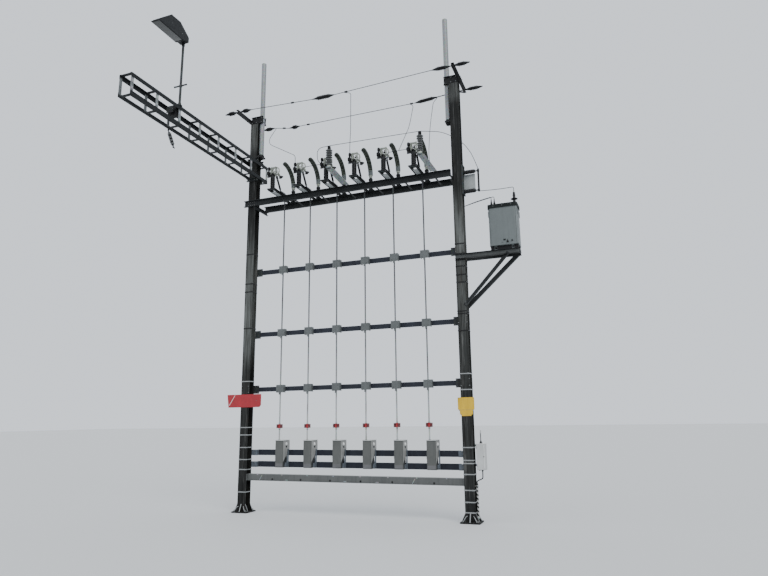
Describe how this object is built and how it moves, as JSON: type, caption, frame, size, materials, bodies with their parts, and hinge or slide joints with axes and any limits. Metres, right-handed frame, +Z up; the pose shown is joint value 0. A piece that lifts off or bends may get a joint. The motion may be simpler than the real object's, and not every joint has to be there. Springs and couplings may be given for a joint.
{
  "type": "railway catenary mast",
  "caption": "Railway mast frame with a switching platform, horn disconnectors, push rods and drive boxes, a pole transformer and a lattice cross boom with a lamp.",
  "frame": {"origin": "middle of the left mast's foot, on the underside of its foot plate", "axes": "+X toward the right mast, +Y away from the side with the cross boom, +Z up"},
  "size_m": [6.705, 4.7705, 10.68],
  "materials": {
    "horn": "dark mossy",
    "galvanised": "dull galvanised",
    "insulator": "dark glaze",
    "conductor": "dull",
    "box_grey": "light grey",
    "cast_metal": "cast",
    "dark_steel": "dark weathered",
    "box_white": "whitish grey",
    "mast_paint": "weathered matt",
    "sign_paint": "enamel",
    "cover_grey": "grey green",
    "tank_grey": "grey green"
  },
  "bodies": {
    "frame": {"arc_horns": "horn", "boom_chords": "galvanised", "boom_frames": "galvanised", "boom_insulator": "insulator", "boom_seats": "galvanised", "busbar_lines": "conductor", "cable_duct": "box_grey", "contact_heads": "dark_steel", "control_box": "box_white", "control_conduit": "box_grey", "cross_arms": "mast_paint", "extension_tubes": "galvanised", "fuse_holder": "insulator", "guide_rails": "dark_steel", "jumper_leads": "conductor", "lamp_gear_box": "galvanised", "lamp_head": "box_grey", "lamp_pole": "galvanised", "left_mast": "mast_paint", "mast_bands": "galvanised", "motor_boxes": "box_grey", "motor_lids": "box_white", "motor_rail_brackets": "galvanised", "motor_rails": "galvanised", "platform_beams": "dark_steel", "platform_cross": "dark_steel", "post_insulators": "insulator", "rail_plates": "galvanised", "right_mast": "mast_paint", "rod_guides": "galvanised", "signal_plates": "sign_paint", "strain_insulators": "insulator", "surge_arresters": "insulator", "switch_bases": "dark_steel", "transformer_bracket": "dark_steel", "transformer_bushings": "insulator", "transformer_cover": "cover_grey", "transformer_tank": "tank_grey"},
    "drive_1": {"drive_rod_1": "galvanised", "push_link_1": "dark_steel"},
    "arm_1": {"contact_arm_1": "cast_metal"},
    "drive_2": {"drive_rod_2": "galvanised", "push_link_2": "dark_steel"},
    "arm_2": {"contact_arm_2": "cast_metal"},
    "drive_3": {"drive_rod_3": "galvanised", "push_link_3": "dark_steel"},
    "arm_3": {"contact_arm_3": "cast_metal"},
    "drive_4": {"drive_rod_4": "galvanised", "push_link_4": "dark_steel"},
    "arm_4": {"contact_arm_4": "cast_metal"},
    "drive_5": {"drive_rod_5": "galvanised", "push_link_5": "dark_steel"},
    "arm_5": {"contact_arm_5": "cast_metal"},
    "drive_6": {"drive_rod_6": "galvanised", "push_link_6": "dark_steel"},
    "arm_6": {"contact_arm_6": "cast_metal"}
  },
  "joints": [
    {"name": "rod_lift_1", "type": "slide", "parent": "frame", "child": "drive_1", "axis": [0, 0, 1], "range_m": [0, 0.06]},
    {"name": "arm_swing_1", "type": "hinge", "parent": "frame", "child": "arm_1", "pos_m": [0.818, -0.45, 7.46], "axis": [1, 0, 0], "range_deg": [0, 35]},
    {"name": "rod_lift_2", "type": "slide", "parent": "frame", "child": "drive_2", "axis": [0, 0, 1], "range_m": [0, 0.06]},
    {"name": "arm_swing_2", "type": "hinge", "parent": "frame", "child": "arm_2", "pos_m": [1.496, -0.45, 7.46], "axis": [1, 0, 0], "range_deg": [0, 35]},
    {"name": "rod_lift_3", "type": "slide", "parent": "frame", "child": "drive_3", "axis": [0, 0, 1], "range_m": [0, 0.06]},
    {"name": "arm_swing_3", "type": "hinge", "parent": "frame", "child": "arm_3", "pos_m": [2.174, -0.45, 7.46], "axis": [1, 0, 0], "range_deg": [0, 35]},
    {"name": "rod_lift_4", "type": "slide", "parent": "frame", "child": "drive_4", "axis": [0, 0, 1], "range_m": [0, 0.06]},
    {"name": "arm_swing_4", "type": "hinge", "parent": "frame", "child": "arm_4", "pos_m": [2.852, -0.45, 7.46], "axis": [1, 0, 0], "range_deg": [0, 35]},
    {"name": "rod_lift_5", "type": "slide", "parent": "frame", "child": "drive_5", "axis": [0, 0, 1], "range_m": [0, 0.06]},
    {"name": "arm_swing_5", "type": "hinge", "parent": "frame", "child": "arm_5", "pos_m": [3.53, -0.45, 7.46], "axis": [1, 0, 0], "range_deg": [0, 35]},
    {"name": "rod_lift_6", "type": "slide", "parent": "frame", "child": "drive_6", "axis": [0, 0, 1], "range_m": [0, 0.06]},
    {"name": "arm_swing_6", "type": "hinge", "parent": "frame", "child": "arm_6", "pos_m": [4.208, -0.45, 7.46], "axis": [1, 0, 0], "range_deg": [0, 35]}
  ],
  "couplings": [
    {"joint": "arm_swing_1", "follows": "rod_lift_1", "rad_per_m": 9.9},
    {"joint": "arm_swing_2", "follows": "rod_lift_2", "rad_per_m": 9.9},
    {"joint": "arm_swing_3", "follows": "rod_lift_3", "rad_per_m": 9.9},
    {"joint": "arm_swing_4", "follows": "rod_lift_4", "rad_per_m": 9.9},
    {"joint": "arm_swing_5", "follows": "rod_lift_5", "rad_per_m": 9.9},
    {"joint": "arm_swing_6", "follows": "rod_lift_6", "rad_per_m": 9.9}
  ]
}
